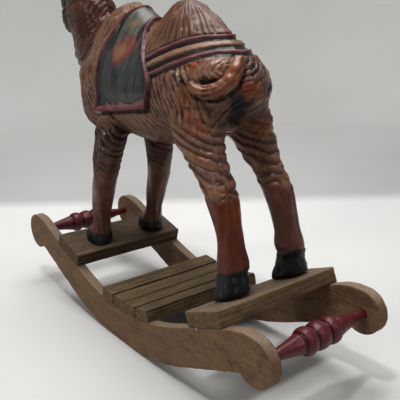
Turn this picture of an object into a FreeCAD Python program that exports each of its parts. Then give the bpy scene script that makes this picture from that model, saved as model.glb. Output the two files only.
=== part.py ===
import FreeCAD, Part
import math
import os

import Sketcher

# A carved two-humped camel standing on a rocker base, in millimetres.
# +Z is up, +X points to the camel's tail, -Y is the camel's left side.
# The origin is on the floor, under the middle of the rocker.

V = FreeCAD.Vector
UP = V(0, 0, 1)
ACROSS = V(0, 1, 0)

doc = FreeCAD.newDocument("rocking_camel")

# ---------------------------------------------------------------- driving sizes
SIZES = [
    # the rocker base
    ("base_width", 130), ("runner_thick", 10), ("runner_depth", 33.5),
    ("top_radius", 225), ("top_angle", 21),
    ("sole_radius", 262), ("sole_angle", 22.8), ("sole_flat", 48),
    ("club_radius", 19.5), ("club_x", 185.5), ("club_z", 63.5), ("shoulder_radius", 60),
    # the two turned spindles
    ("spindle_x", 188), ("spindle_z", 63), ("tenon_radius", 3.2), ("tenon_length", 6),
    ("bead_radius", 11.3), ("groove_radius", 8.8), ("neck_radius", 3.7), ("bead_width", 14.5),
    ("outer_bead_share", 0.87), ("neck_length", 4), ("flare_fullness", 2),
    # the hoof boards and the slats between them
    ("board_width", 45), ("board_thick", 13.5), ("front_board_x", 102.7),
    ("front_board_top", 69.2), ("front_board_angle", 15.5), ("rear_board_along", 55),
    ("slat_width", 19.9), ("slat_thick", 11), ("slat_first_x", -21.9), ("slat_last_x", 41.3),
    ("slat_middle_gap", 0.4),
    # the camel
    ("camel_offset", 5), ("front_hump_x", -66), ("rear_hump_x", 28), ("hump_top", 314),
    ("hump_foot", 240), ("front_hump_long", 58), ("rear_hump_long", 55), ("hump_wide", 37),
    ("ear_radius", 5), ("ear_height", 16),
    ("front_hoof_x", -100), ("front_hoof_y", 33.5), ("front_hoof_radius", 13.6),
    ("rear_hoof_x", 122), ("rear_hoof_y", 33.5), ("rear_hoof_radius", 14.7),
    ("hoof_sink", 7), ("hoof_height", 8), ("hoof_taper", 0.92),
    # fastenings
    ("dowel_radius", 4), ("dowel_length", 34), ("neck_dowel_radius", 6),
    ("neck_dowel_length", 50),
    ("screw_radius", 1.6), ("screw_head_radius", 3.6), ("screw_head_height", 2.4),
    ("screw_bite", 16), ("pin_radius", 0.8), ("pin_length", 19), ("pin_inset", 5),
]

sheet = doc.addObject("Spreadsheet::Sheet", "Sizes")
for row, (alias, value) in enumerate(SIZES, start=1):
    sheet.set("A%d" % row, alias)
    sheet.set("B%d" % row, str(value))
    sheet.setAlias("B%d" % row, alias)
doc.recompute()
S = {alias: float(sheet.get(alias)) for alias, _ in SIZES}


def bind(item, **properties):
    """Ties properties of an object to expressions over the sheet's aliases."""
    for name, expression in properties.items():
        item.setExpression(name, expression)


def origin_plane(body, role):
    """One of a body's own origin planes, such as XZ_Plane."""
    return next(f for f in body.Origin.OriginFeatures if f.Role == role)


def sketch_on(body, role, name, height=0.0):
    """A sketch on an origin plane of its body, lifted by height."""
    sketch = body.newObject("Sketcher::SketchObject", name)
    sketch.AttachmentSupport = [(origin_plane(body, role), "")]
    sketch.MapMode = "FlatFace"
    sketch.AttachmentOffset = FreeCAD.Placement(V(0, 0, height), FreeCAD.Rotation())
    return sketch


def named(sketch, name, expression, *arguments):
    """A dimension of a sketch that follows the sheet."""
    index = sketch.addConstraint(Sketcher.Constraint(*arguments))
    sketch.renameConstraint(index, name)
    sketch.setExpression("Constraints." + name, expression)


def turned(base, angle, axis=ACROSS):
    """A placement at base, turned by angle in degrees."""
    return FreeCAD.Placement(base, FreeCAD.Rotation(axis, angle))


def cut(name, label, base, tools):
    """Base less every tool, one Part::Cut after another."""
    result = base
    for count, tool in enumerate(tools, start=1):
        step = doc.addObject("Part::Cut", "%s_cut_%d" % (name, count))
        step.Base = result
        step.Tool = tool
        result = step
    result.Label = label
    return result


def fuse(name, shapes):
    union = doc.addObject("Part::MultiFuse", name)
    union.Shapes = shapes
    return union


def together(name, label, shapes):
    """Identical fasteners in one node, each still its own solid."""
    group = doc.addObject("Part::Compound", name)
    group.Links = shapes
    group.Label = label
    return group


# ---------------------------------------------------------------- where the base parts lie
inner_y = S["base_width"] / 2 - S["runner_thick"]
top_turn = math.radians(S["top_angle"])
sole_turn = math.radians(S["sole_angle"])
top_centre_z = S["runner_depth"] + S["top_radius"]
bend_x = S["top_radius"] * math.sin(top_turn)
bend_z = top_centre_z - S["top_radius"] * math.cos(top_turn)


# ---------------------------------------------------------------- runners
def runner_outline(sketch):
    """The rear half of a runner's side view, closed along its middle line."""
    along = V(math.cos(top_turn), math.sin(top_turn), 0)
    normal = V(-math.sin(top_turn), math.cos(top_turn), 0)
    club = V(S["club_x"], S["club_z"], 0)
    bend = V(bend_x, bend_z, 0)
    # The shoulder arc touches the straight top edge and holds the club's circle inside it.
    reach = S["shoulder_radius"] - S["club_radius"]
    below = S["shoulder_radius"] - (bend - club).dot(normal)
    back = math.sqrt(reach ** 2 - below ** 2)
    shoulder = club - normal * below - along * back
    shoulder_start = shoulder + normal * S["shoulder_radius"]
    shoulder_end = shoulder + (club - shoulder).normalize() * S["shoulder_radius"]
    # The straight under edge leaves the sole's arc and runs into the club.
    rise = V(math.cos(sole_turn), math.sin(sole_turn), 0)
    # A worn flat in the middle of the sole, where the rocker stands still.
    flat_end = V(S["sole_flat"] / 2, 0, 0)
    sole_centre = V(0, math.sqrt(S["sole_radius"] ** 2 - flat_end.x ** 2), 0)
    sole_end = sole_centre + V(S["sole_radius"] * math.sin(sole_turn),
                               -S["sole_radius"] * math.cos(sole_turn), 0)
    to_club = club - sole_end
    foot = to_club.dot(rise)
    miss = math.sqrt(to_club.dot(to_club) - foot ** 2)
    notch = sole_end + rise * (foot - math.sqrt(S["club_radius"] ** 2 - miss ** 2))

    def arc(centre, radius, start, end):
        angles = [math.atan2(p.y - centre.y, p.x - centre.x) for p in (start, end)]
        circle = Part.Circle(centre, V(0, 0, 1), radius)
        return sketch.addGeometry(Part.ArcOfCircle(circle, *angles), False)

    middle_top = V(0, S["runner_depth"], 0)
    top_arc = arc(V(0, top_centre_z, 0), S["top_radius"], middle_top, bend)
    top_line = sketch.addGeometry(Part.LineSegment(bend, shoulder_start), False)
    shoulder_arc = arc(shoulder, S["shoulder_radius"], shoulder_end, shoulder_start)
    club_arc = arc(club, S["club_radius"], notch, shoulder_end)
    sole_line = sketch.addGeometry(Part.LineSegment(notch, sole_end), False)
    sole_arc = arc(sole_centre, S["sole_radius"], flat_end, sole_end)
    flat = sketch.addGeometry(Part.LineSegment(flat_end, V(0, 0, 0)), False)
    middle = sketch.addGeometry(Part.LineSegment(V(0, 0, 0), middle_top), False)

    start, end, centre = 1, 2, 3
    for joint in (
        ("Tangent", top_arc, end, top_line, start),
        ("Tangent", top_line, end, shoulder_arc, end),
        ("Tangent", shoulder_arc, start, club_arc, end),
        ("Coincident", club_arc, start, sole_line, start),
        ("Tangent", sole_line, end, sole_arc, end),
        ("Coincident", sole_arc, start, flat, start),
        ("Coincident", flat, end, middle, start),
        ("PointOnObject", flat, start, -1),
        ("Coincident", middle, end, top_arc, start),
        ("Coincident", middle, start, -1, 1),
        ("PointOnObject", middle, end, -2),
        ("PointOnObject", top_arc, centre, -2),
        ("PointOnObject", sole_arc, centre, -2),
    ):
        sketch.addConstraint(Sketcher.Constraint(*joint))
    named(sketch, "depth", "Sizes.runner_depth", "DistanceY", -1, 1, middle, end,
          S["runner_depth"])
    named(sketch, "half_flat", "Sizes.sole_flat / 2", "DistanceX", -1, 1, flat, start,
          flat_end.x)
    named(sketch, "top_radius", "Sizes.top_radius", "Radius", top_arc, S["top_radius"])
    named(sketch, "sole_radius", "Sizes.sole_radius", "Radius", sole_arc, S["sole_radius"])
    named(sketch, "club_radius", "Sizes.club_radius", "Radius", club_arc, S["club_radius"])
    named(sketch, "shoulder_radius", "Sizes.shoulder_radius", "Radius", shoulder_arc,
          S["shoulder_radius"])
    named(sketch, "club_x", "Sizes.club_x", "DistanceX", -1, 1, club_arc, centre,
          S["club_x"])
    named(sketch, "club_z", "Sizes.club_z", "DistanceY", -1, 1, club_arc, centre,
          S["club_z"])
    named(sketch, "sole_end_x", "Sizes.sole_radius * sin(Sizes.sole_angle * 1 deg)",
          "DistanceX", -1, 1, sole_arc, end, sole_end.x)
    named(sketch, "bend_x", "Sizes.top_radius * sin(Sizes.top_angle * 1 deg)",
          "DistanceX", -1, 1, top_arc, end, bend.x)


def make_runner(name, side):
    """side is -1 for the camel's left and +1 for its right; the inner face is the sketch plane."""
    body = doc.addObject("PartDesign::Body", name + "_blank")
    outline = sketch_on(body, "XZ_Plane", name + "_outline")
    runner_outline(outline)
    plank = body.newObject("PartDesign::Pad", name + "_plank")
    plank.Profile = outline
    bind(plank, Length="Sizes.runner_thick")
    plank.Reversed = side > 0
    doc.recompute()
    mirrored = body.newObject("PartDesign::Mirrored", name + "_both_ends")
    mirrored.Originals = [plank]
    mirrored.MirrorPlane = (origin_plane(body, "YZ_Plane"), [""])
    body.Tip = mirrored
    doc.recompute()
    sockets = sketch_on(body, "XZ_Plane", name + "_sockets")
    for number, end_sign in enumerate((-1, 1)):
        centre = V(end_sign * S["spindle_x"], S["spindle_z"], 0)
        circle = sketch_circle(sockets, centre, S["tenon_radius"])
        named(sockets, "radius_%d" % number, "Sizes.tenon_radius", "Radius", circle,
              S["tenon_radius"])
    socket = body.newObject("PartDesign::Pocket", name + "_socket_pocket")
    socket.Profile = sockets
    bind(socket, Length="Sizes.tenon_length")
    socket.Reversed = side < 0
    body.Placement = FreeCAD.Placement(V(0, side * inner_y, 0), FreeCAD.Rotation())
    return body


def sketch_circle(sketch, centre, radius):
    return sketch.addGeometry(Part.Circle(centre, V(0, 0, 1), radius), False)


# ---------------------------------------------------------------- spindles
def make_spindle(name, label, x):
    """Three beads in the middle, a long flare to each end, and a tenon at each tip."""
    body = doc.addObject("PartDesign::Body", name)
    body.Label = label
    sketch = sketch_on(body, "XY_Plane", name + "_profile")
    half = inner_y
    groove = S["bead_width"] / 2
    shoulder = groove + S["bead_width"] * S["outer_bead_share"]
    tip = half + S["tenon_length"]
    # radius on the sketch's X, length on its Y
    middle_bead = [V(S["groove_radius"], -groove, 0), V(S["bead_radius"], 0, 0),
                   V(S["groove_radius"], groove, 0)]
    sketch.addGeometry(Part.Arc(*middle_bead), False)
    for sign in (-1, 1):
        flare_start = V(S["groove_radius"], sign * shoulder, 0)
        flare_reach = half - S["neck_length"]
        flare_end = V(S["neck_radius"], sign * flare_reach, 0)
        flare_middle = V(S["neck_radius"] + S["flare_fullness"],
                         sign * (shoulder + flare_reach) / 2, 0)
        bead_top = V(S["bead_radius"], sign * (groove + shoulder) / 2, 0)
        bead = [V(S["groove_radius"], sign * groove, 0), bead_top, flare_start]
        sketch.addGeometry(Part.Arc(*bead), False)
        sketch.addGeometry(Part.Arc(flare_start, flare_middle, flare_end), False)
        corners = [
            flare_end,
            V(S["neck_radius"], sign * half, 0),
            V(S["tenon_radius"], sign * half, 0),
            V(S["tenon_radius"], sign * tip, 0),
            V(0, sign * tip, 0),
        ]
        for a, b in zip(corners, corners[1:]):
            sketch.addGeometry(Part.LineSegment(a, b), False)
    sketch.addGeometry(Part.LineSegment(V(0, -tip, 0), V(0, tip, 0)), False)
    turning = body.newObject("PartDesign::Revolution", name + "_turning")
    turning.Profile = sketch
    turning.ReferenceAxis = (sketch, ["V_Axis"])
    turning.Angle = 360
    body.Placement = FreeCAD.Placement(V(x, 0, S["spindle_z"]), FreeCAD.Rotation())
    return body


# ---------------------------------------------------------------- boards and slats
def make_plank(name, width, thick, bottom_middle, angle):
    """A plank across the runners; its own frame has its bottom middle at bottom_middle."""
    box = doc.addObject("Part::Box", name + "_blank")
    bind(box, Length=width, Height=thick, Width="Sizes.base_width")
    doc.recompute()
    turn = FreeCAD.Rotation(ACROSS, angle)
    corner = V(-box.Length.Value / 2, -S["base_width"] / 2, 0)
    box.Placement = FreeCAD.Placement(bottom_middle + turn.multVec(corner), turn)
    return box


def plank_frame(bottom_middle, angle):
    return FreeCAD.Placement(bottom_middle, FreeCAD.Rotation(ACROSS, angle))


def make_pins(name, frame, thick, rows):
    """Headless pins through a plank into both runners, flush with the plank's top."""
    pins = []
    for side in (-1, 1):
        for number, along in enumerate(rows):
            pin = doc.addObject("Part::Cylinder", "%s_pin_%d_%d" % (name, side + 1, number))
            bind(pin, Radius="Sizes.pin_radius", Height="Sizes.pin_length")
            foot = V(along, side * (S["base_width"] / 2 - S["pin_inset"]),
                     thick - S["pin_length"])
            pin.Placement = frame.multiply(FreeCAD.Placement(foot, FreeCAD.Rotation()))
            pins.append(pin)
    return pins


# ---------------------------------------------------------------- carved camel, plain forms
def loft(name, sections, plane="XY_Plane"):
    """A form through elliptical rings, each (distance, u, v, half width in u, in v).

    On XY_Plane the rings are level, distance is z, u is x and v is y. On YZ_Plane they
    stand across the camel, distance is x, u is y and v is z.
    """
    body = doc.addObject("PartDesign::Body", name)
    sketches = []
    for number, (distance, u, v, half_u, half_v) in enumerate(sections):
        ring = sketch_on(body, plane, "%s_ring_%d" % (name, number), distance)
        centre = V(u, v, 0)
        if half_u > half_v:
            ring.addGeometry(Part.Ellipse(V(u + half_u, v, 0), V(u, v + half_v, 0), centre),
                             False)
        elif half_u < half_v:
            ring.addGeometry(Part.Ellipse(V(u, v + half_v, 0), V(u - half_u, v, 0), centre),
                             False)
        else:
            sketch_circle(ring, centre, half_u)
        sketches.append(ring)
    limb = body.newObject("PartDesign::AdditiveLoft", name + "_loft")
    limb.Profile = sketches[0]
    limb.Sections = sketches[1:]
    limb.Ruled = False
    doc.recompute()
    return body


def screw(name, frame):
    """A countersunk screw up through a board into a hoof, its head flush underneath."""
    shank = doc.addObject("Part::Cylinder", name + "_shank")
    bind(shank, Radius="Sizes.screw_radius", Height="Sizes.board_thick + Sizes.screw_bite")
    shank.Placement = frame
    head = doc.addObject("Part::Cone", name + "_head")
    bind(head, Radius1="Sizes.screw_head_radius", Radius2="Sizes.screw_radius",
         Height="Sizes.screw_head_height")
    head.Placement = frame
    return fuse(name, [shank, head])


# ================================================================ build: base
runners = {"left": make_runner("left_runner", -1), "right": make_runner("right_runner", 1)}
front_spindle = make_spindle("front_spindle", "front_spindle", -S["spindle_x"])
rear_spindle = make_spindle("rear_spindle", "rear_spindle", S["spindle_x"])

front_turn = math.radians(S["front_board_angle"])
front_bottom = V(-S["front_board_x"] - S["board_thick"] * math.sin(front_turn), 0,
                 S["front_board_top"] - S["board_thick"] * math.cos(front_turn))
front_frame = plank_frame(front_bottom, S["front_board_angle"])
rear_bottom = V(bend_x + S["rear_board_along"] * math.cos(top_turn), 0,
                bend_z + S["rear_board_along"] * math.sin(top_turn))
rear_frame = plank_frame(rear_bottom, -S["top_angle"])
front_blank = make_plank("front_board", "Sizes.board_width", "Sizes.board_thick",
                         front_bottom, S["front_board_angle"])
rear_blank = make_plank("rear_board", "Sizes.board_width", "Sizes.board_thick",
                        rear_bottom, -S["top_angle"])
board_rows = (-S["board_width"] / 4, S["board_width"] / 4)
front_pins = make_pins("front_board", front_frame, S["board_thick"], board_rows)
rear_pins = make_pins("rear_board", rear_frame, S["board_thick"], board_rows)

slat_seat = math.sqrt(S["top_radius"] ** 2 - (S["slat_width"] / 2) ** 2)
middle_x = (S["slat_first_x"] + S["slat_last_x"]) / 2
middle_step = (S["slat_width"] + S["slat_middle_gap"]) / 2
slat_places = [S["slat_first_x"], middle_x - middle_step, middle_x + middle_step,
               S["slat_last_x"]]
slats = []
for number, place in enumerate(slat_places, start=1):
    swing = math.asin(place / S["top_radius"])
    seat = V(slat_seat * math.sin(swing), 0, top_centre_z - slat_seat * math.cos(swing))
    name = "slat_%d" % number
    blank = make_plank(name, "Sizes.slat_width", "Sizes.slat_thick", seat,
                       -math.degrees(swing))
    pins = make_pins(name, plank_frame(seat, -math.degrees(swing)), S["slat_thick"], (0.0,))
    slats.append((name, blank, pins))

# ================================================================ build: camel
cy = S["camel_offset"]
barrel = loft("barrel", [
    (-146, cy, 246, 14, 15),
    (-132, cy, 243, 27, 34),
    (-100, cy, 236, 36, 48),
    (-50, cy, 228, 38, 45),
    (10, cy, 227, 38, 42),
    (58, cy, 237, 42, 40),
    (92, cy, 240, 34, 32),
    (111, cy, 242, 15, 16),
], "YZ_Plane")


def make_hump(name, x, long, lean, rings):
    """A hump through level rings, each (height share, length share, width share) of its size.

    Its foot lies inside the barrel, lean further back than its top.
    """
    rise = S["hump_top"] - S["hump_foot"]
    return loft(name, [
        (S["hump_foot"] + rise * up, x + lean * (1 - up), cy, long * length, S["hump_wide"] * width)
        for up, length, width in rings])


torso_blank = fuse("torso_blank", [
    barrel,
    make_hump("front_hump", S["front_hump_x"], S["front_hump_long"], -4, [
        (0, 1, 1), (0.4, 0.93, 0.88), (0.68, 0.78, 0.62), (0.88, 0.5, 0.36), (1, 0.17, 0.13)]),
    make_hump("rear_hump", S["rear_hump_x"], S["rear_hump_long"], 7, [
        (0, 1, 1), (0.4, 0.88, 0.84), (0.68, 0.67, 0.54), (0.88, 0.4, 0.3), (1, 0.15, 0.11)]),
])

neck = loft("neck", [
    (240, -112, cy, 36, 28),
    (270, -131, cy, 34, 24),
    (300, -145, cy, 32, 21),
    (330, -157, cy, 27, 18),
    (366, -170, cy, 19, 13),
])
head = loft("head", [
    (-158, cy, 372, 8, 9),
    (-168, cy, 375, 15, 17),
    (-188, cy, 373, 15, 18),
    (-208, cy, 363, 12, 14),
    (-230, cy, 356, 10.5, 11),
    (-243, cy, 354, 6, 7),
], "YZ_Plane")
beard = loft("beard", [
    (356, -204, cy, 10, 7),
    (330, -200, cy, 15, 10),
    (305, -193, cy, 15, 10),
    (288, -186, cy, 9, 6),
    (279, -183, cy, 3, 2.5),
])
ears = []
for number, side in enumerate((-1, 1)):
    ear = doc.addObject("Part::Cone", "ear_%d" % number)
    bind(ear, Radius1="Sizes.ear_radius", Radius2="Sizes.ear_radius / 4",
         Height="Sizes.ear_height")
    ear.Placement = turned(V(-168, cy + side * 10, 384), 12, V(-side, 0, 0))
    ears.append(ear)
neck_blank = fuse("neck_blank", [neck, head, beard] + ears)


def leg_sections(hoof_x, hoof_y, hoof_z, radius, rest):
    """The hoof's two rings, sunk a little into the board, then the rest of the leg."""
    return [
        (hoof_z - S["hoof_sink"], hoof_x, hoof_y, radius, radius),
        (hoof_z + S["hoof_height"], hoof_x, hoof_y, radius * S["hoof_taper"],
         radius * S["hoof_taper"]),
    ] + rest


def board_height(frame, x):
    """Height of a board's top face at x."""
    up = frame.Rotation.multVec(UP)
    top = frame.Base + up * S["board_thick"]
    return top.z - (x - top.x) * up.x / up.z


legs = {}
dowels = []
screws = []
for side_name, side in (("left", -1), ("right", 1)):
    hoof_y = cy + side * S["front_hoof_y"]
    hoof_z = board_height(front_frame, S["front_hoof_x"])
    front_leg = loft("front_%s_leg_blank" % side_name, leg_sections(
        S["front_hoof_x"], hoof_y, hoof_z, S["front_hoof_radius"], [
            (92, -93, hoof_y, 10, 10),
            (137, -80, cy + side * 33, 12, 12),
            (176, -71.5, cy + side * 29.5, 17, 15),
            (214, -72, cy + side * 19, 22, 17),
        ]))
    hoof_y = cy + side * S["rear_hoof_y"]
    hoof_z = board_height(rear_frame, S["rear_hoof_x"])
    rear_leg = loft("rear_%s_leg_blank" % side_name, leg_sections(
        S["rear_hoof_x"], hoof_y, hoof_z, S["rear_hoof_radius"], [
            (106, 122, cy + side * 32.5, 12.3, 11.3),
            (140, 114, cy + side * 31, 12.8, 11.6),
            (168, 102, cy + side * 29.5, 15.4, 12.8),
            (190, 83, cy + side * 29, 23, 14),
            (218, 70, cy + side * 22, 29, 17),
        ]))
    for end, leg, frame, board, top, hoof in (
        ("front", front_leg, front_frame, front_blank, V(-67, cy + side * 21, 187),
         V(S["front_hoof_x"], cy + side * S["front_hoof_y"], 0)),
        ("rear", rear_leg, rear_frame, rear_blank, V(76, cy + side * 21, 194),
         V(S["rear_hoof_x"], cy + side * S["rear_hoof_y"], 0)),
    ):
        name = "%s_%s_leg" % (end, side_name)
        dowel = doc.addObject("Part::Cylinder", name + "_dowel")
        bind(dowel, Radius="Sizes.dowel_radius", Height="Sizes.dowel_length")
        dowel.Placement = FreeCAD.Placement(top, FreeCAD.Rotation())
        dowels.append(dowel)
        up = frame.Rotation.multVec(UP)
        # the screw's head lies under the board, straight below the hoof's middle
        hoof.z = board_height(frame, hoof.x)
        screw_frame = FreeCAD.Placement(hoof - up * S["board_thick"], frame.Rotation)
        fastener = screw(name + "_screw", screw_frame)
        screws.append(fastener)
        legs[name] = (leg, board, dowel, fastener)

neck_dowel = doc.addObject("Part::Cylinder", "neck_dowel")
neck_dowel.Label = "neck_dowel"
bind(neck_dowel, Radius="Sizes.neck_dowel_radius", Height="Sizes.neck_dowel_length")
neck_dowel.Placement = turned(V(-104, cy, 238), -28.0)

# ================================================================ build: joints between parts
all_pins = front_pins + rear_pins + [pin for _, _, pins in slats for pin in pins]
nodes = [front_spindle, rear_spindle, neck_dowel]
pin_set = together("pin_set", "pins_for_cutting", all_pins)
for side_name, body in runners.items():
    nodes.append(cut(side_name + "_runner", side_name + "_runner", body,
                     [front_blank, pin_set]))
for name, blank, pins in slats:
    nodes.append(cut(name, name, blank, pins))
front_screws = [s for s in screws if s.Name.startswith("front")]
rear_screws = [s for s in screws if s.Name.startswith("rear")]
nodes.append(cut("front_board", "front_board", front_blank, front_pins + front_screws))
nodes.append(cut("rear_board", "rear_board", rear_blank, rear_pins + rear_screws))
dowel_set = together("leg_dowel_set", "leg_dowels", dowels)
nodes.append(cut("torso", "torso", torso_blank, [dowel_set, neck_dowel]))
nodes.append(cut("neck_and_head", "neck_and_head", neck_blank, [torso_blank, neck_dowel]))
for name, (leg, board, dowel, fastener) in legs.items():
    nodes.append(cut(name, name, leg, [board, torso_blank, dowel, fastener]))
nodes.append(dowel_set)
nodes.append(together("leg_screw_set", "leg_screws", screws))
nodes.append(together("board_pin_set", "board_pins", front_pins + rear_pins))
nodes.append(together("slat_pin_set", "slat_pins",
                      [pin for _, _, pins in slats for pin in pins]))

doc.recompute()

for item in doc.Objects:
    if "Invalid" in item.State or "Error" in item.State:
        raise SystemExit("%s: %s" % (item.Name, item.State))
os.makedirs("parts", exist_ok=True)
for item in nodes:
    shape = item.Shape
    if shape.isNull() or not shape.isValid():
        raise SystemExit(item.Label + " has no valid shape")
    print(item.Label, "solids", len(shape.Solids), "volume", round(shape.Volume))
    shape.exportStep("parts/%s.step" % item.Label)
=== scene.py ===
import math

import bpy
import numpy as np
from mathutils import Matrix, Vector


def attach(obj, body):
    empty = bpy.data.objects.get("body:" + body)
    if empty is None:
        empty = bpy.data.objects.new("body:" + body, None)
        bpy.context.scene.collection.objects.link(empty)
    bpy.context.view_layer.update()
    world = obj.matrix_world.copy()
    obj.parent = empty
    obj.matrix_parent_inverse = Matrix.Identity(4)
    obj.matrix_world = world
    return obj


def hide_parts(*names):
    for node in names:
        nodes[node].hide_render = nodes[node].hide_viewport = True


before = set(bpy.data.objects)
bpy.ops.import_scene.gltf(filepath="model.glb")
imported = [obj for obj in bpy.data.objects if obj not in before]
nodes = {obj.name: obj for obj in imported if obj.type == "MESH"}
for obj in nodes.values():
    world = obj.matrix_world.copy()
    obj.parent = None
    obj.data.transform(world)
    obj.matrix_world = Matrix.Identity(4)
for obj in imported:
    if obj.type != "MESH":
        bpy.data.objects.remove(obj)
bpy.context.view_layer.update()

# A carved, painted and varnished two-humped camel standing on a small wooden rocker.
# The camel and the rocker are in millimetres and become metres when a mesh is made; the stage and the
# lamps are in metres.
# The camel faces -X, its left side is -Y and +Z is up.

MM = 0.001
CAMEL_Y = 5.0            # the camel stands this far off the middle of the rocker
FORM_STEP = 0.9
WOOD_STEP = 0.75
FINE_STEP = 0.5


# ---- numbers

def unit(value):
    return np.clip(value, 0.0, 1.0)


def smoothstep(value, low, high):
    t = unit((value - low) / (high - low))
    return t * t * (3.0 - 2.0 * t)


def fade(value, low, high):
    """1 up to low, falling to 0 at high."""
    return 1.0 - smoothstep(value, low, high)


def within(value, low, high, soft):
    """1 between low and high, fading to 0 over soft on each side."""
    return smoothstep(value, low - soft, low + soft) * fade(value, high - soft, high + soft)


def ridge(distance, half_width):
    """A rounded rib: 1 on its line and 0 from half_width on."""
    return np.cos(np.clip(distance / half_width, -1.0, 1.0) * math.pi / 2.0) ** 2


def smooth_min(a, b, blend):
    if blend <= 0:
        return np.minimum(a, b)
    h = unit(0.5 + 0.5 * (b - a) / blend)
    return b + (a - b) * h - blend * h * (1.0 - h)


def smooth_rows(rows, at):
    """Smooth curves through rows whose first column is the rising parameter: one array per other column."""
    rows = np.array(rows, float)
    t, values = rows[:, 0], rows[:, 1:]
    slope = np.gradient(values, t, axis=0)
    i = np.clip(np.searchsorted(t, at) - 1, 0, len(t) - 2)
    step = (t[i + 1] - t[i])[:, None]
    s = unit((at - t[i])[:, None] / step)
    low = (2 * s ** 3 - 3 * s ** 2 + 1) * values[i] + (s ** 3 - 2 * s ** 2 + s) * step * slope[i]
    high = (3 * s ** 2 - 2 * s ** 3) * values[i + 1] + (s ** 3 - s ** 2) * step * slope[i + 1]
    return (low + high).T


def lattice(i, j, k, seed):
    """A repeatable value from 0 to 1 for each lattice point."""
    n = (i.astype(np.int64).astype(np.uint32) * np.uint32(374761393)
         + j.astype(np.int64).astype(np.uint32) * np.uint32(668265263)
         + k.astype(np.int64).astype(np.uint32) * np.uint32(2246822519)
         + np.uint32(seed * 40503 + 977))
    n = (n ^ (n >> np.uint32(13))) * np.uint32(1274126177)
    return ((n ^ (n >> np.uint32(16))) & np.uint32(0xFFFF)) / 65535.0


def noise(x, y, z, size, seed=0):
    """Smooth noise from -1 to 1 whose features are about size long."""
    x, y, z = x / size, y / size, z / size
    i, j, k = np.floor(x), np.floor(y), np.floor(z)
    u, v, w = (t * t * (3.0 - 2.0 * t) for t in (x - i, y - j, z - k))
    total = 0.0
    for a, wa in ((0, 1.0 - u), (1, u)):
        for b, wb in ((0, 1.0 - v), (1, v)):
            for c, wc in ((0, 1.0 - w), (1, w)):
                total = total + wa * wb * wc * lattice(i + a, j + b, k + c, seed)
    return total * 2.0 - 1.0


def furrows(across, along, pitch, seed, wander=0.35):
    """V cuts side by side with rounded crests between them: 0 on a crest and -1 in the deepest cuts."""
    flat = np.zeros_like(across)
    turns = across / pitch + wander * noise(across, along, flat, 3.0 * pitch, seed)
    cut = np.round(turns)
    depth = np.clip(0.6 + 0.75 * noise(cut * 5.3, along / 13.0, flat, 1.0, seed + 1), 0.12, 1.0)
    return -(1.0 - np.abs(np.sin(math.pi * turns)) ** 0.75) * depth


def fur(across, along, pitch, seed):
    """Bold gouge cuts with finer ones between them."""
    return 0.8 * furrows(across, along, pitch, seed) + 0.35 * furrows(across, along, pitch * 0.43, seed + 5)


def locks(across, along, pitch, seed):
    """Staggered leaf-shaped locks with gouge lines on them: 0 on their backs and -1 in the cuts."""
    flat = np.zeros_like(across)
    length = 2.7 * pitch
    turns = across / pitch + 0.45 * noise(across, along, flat, 2.6 * pitch, seed)
    column = np.floor(turns)
    drift = 0.3 * noise(across, along, flat, length, seed + 4)
    way = along / length + lattice(column, flat, flat, seed + 3) + drift
    half = 0.16 + 0.34 * np.sin(math.pi * (way - np.floor(way))) ** 0.7
    off = np.abs(turns - column - 0.5) / half
    deep = np.clip(0.75 + 0.6 * noise(column * 3.1, way, flat, 1.0, seed + 6), 0.35, 1.0)
    return -smoothstep(off, 0.35, 1.15) * deep + 0.3 * furrows(across, along, pitch * 0.4, seed + 5)


def ledges(across, along, pitch, seed):
    """Wandering folds that swell slowly and drop back sharply: 0 on the swell and -1 in the drop."""
    flat = np.zeros_like(across)
    turns = across / pitch + 0.5 * noise(across, along, flat, 2.5 * pitch, seed)
    t = turns - np.floor(turns)
    fold = np.floor(turns)
    strength = np.clip(0.75 + 0.7 * noise(fold * 4.7, along / 14.0, flat, 1.0, seed + 1), 0.2, 1.0)
    swell = smoothstep(t, 0.0, 0.7) * fade(t, 0.8, 1.0)
    return (swell - 1.0) * strength


# ---- solid shapes as distance fields

class Grid:
    """Distances to a growing shape, sampled on a regular grid."""

    def __init__(self, low, high, step):
        self.low = np.array(low, float)
        self.step = step
        self.count = np.ceil((np.array(high) - self.low) / step).astype(int) + 1
        self.field = np.full(self.count, 100.0, np.float32)

    def add(self, shape, blend=0.0):
        low, high = shape.box(blend + 3.0)
        first = np.clip(((low - self.low) / self.step).astype(int), 0, self.count)
        last = np.clip(((high - self.low) / self.step).astype(int) + 2, 0, self.count)
        x, y, z = ((self.low[i] + self.step * np.arange(first[i], last[i])).astype(np.float32)
                   for i in range(3))
        part = tuple(slice(a, b) for a, b in zip(first, last))
        distance = shape.distance(x[:, None, None], y[None, :, None], z[None, None, :])
        self.field[part] = smooth_min(self.field[part], distance, blend)


class Blob:
    """An ellipsoid, its length pitched by an angle about the Y axis."""

    def __init__(self, centre, radii, pitch=0.0):
        self.centre = np.array(centre, float) + (0.0, CAMEL_Y, 0.0)
        self.radii = np.array(radii, float)
        self.pitch = math.radians(pitch)

    def box(self, margin):
        reach = np.array([max(self.radii[0], self.radii[2])] * 3) if self.pitch else self.radii.copy()
        reach[1] = self.radii[1]
        return self.centre - reach - margin, self.centre + reach + margin

    def distance(self, x, y, z):
        x, y, z = x - self.centre[0], y - self.centre[1], z - self.centre[2]
        if self.pitch:
            s, c = math.sin(self.pitch), math.cos(self.pitch)
            x, z = x * c + z * s, z * c - x * s
        a, b, c = self.radii
        near = np.sqrt((x / a) ** 2 + (y / b) ** 2 + (z / c) ** 2)
        steep = np.sqrt((x / a ** 2) ** 2 + (y / b ** 2) ** 2 + (z / c ** 2) ** 2)
        return near * (near - 1.0) / np.maximum(steep, 1e-6)


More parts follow.
